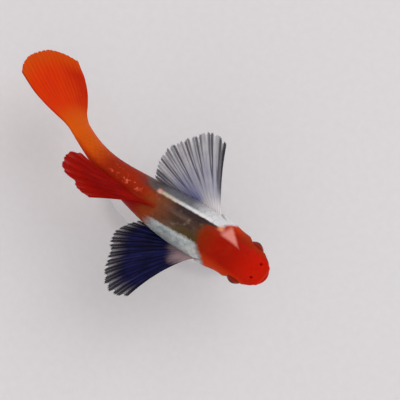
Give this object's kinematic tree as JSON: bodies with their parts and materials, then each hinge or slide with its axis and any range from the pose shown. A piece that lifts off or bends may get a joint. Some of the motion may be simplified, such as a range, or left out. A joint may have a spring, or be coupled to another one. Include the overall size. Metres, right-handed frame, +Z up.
{
  "type": "fancy guppy",
  "caption": "Still life-size model of a swimming fancy guppy with big pectoral fins, a swung fan tail and a small display stand.",
  "frame": {"origin": "middle of the underside of the stand's base, straight below its rod", "axes": "+X towards the mouth along the trunk, +Y towards the fish's left, +Z up"},
  "size_m": [0.0447, 0.0262, 0.0215],
  "materials": {
    "skin_red": "gloss",
    "skin_dark": "satin",
    "skin_orange": "satin",
    "eye": "polished",
    "fin_pale": "satin",
    "fin_navy": "satin",
    "fin_dark_red": "satin",
    "fin_orange": "satin",
    "fin_clear": "satin",
    "stand_paint": "matte",
    "stand_steel": "satin"
  },
  "bodies": {
    "root": {"head": "skin_red", "eye_left": "eye", "eye_right": "eye", "trunk": "skin_dark", "tail_stem": "skin_orange", "pectoral_fin_left": "fin_pale", "pectoral_fin_right": "fin_navy", "dorsal_fin": "fin_dark_red", "caudal_fin": "fin_orange", "pelvic_fin_left": "fin_clear", "pelvic_fin_right": "fin_clear", "anal_fin": "fin_clear", "stand_base": "stand_paint", "stand_rod": "stand_steel"}
  },
  "joints": []
}
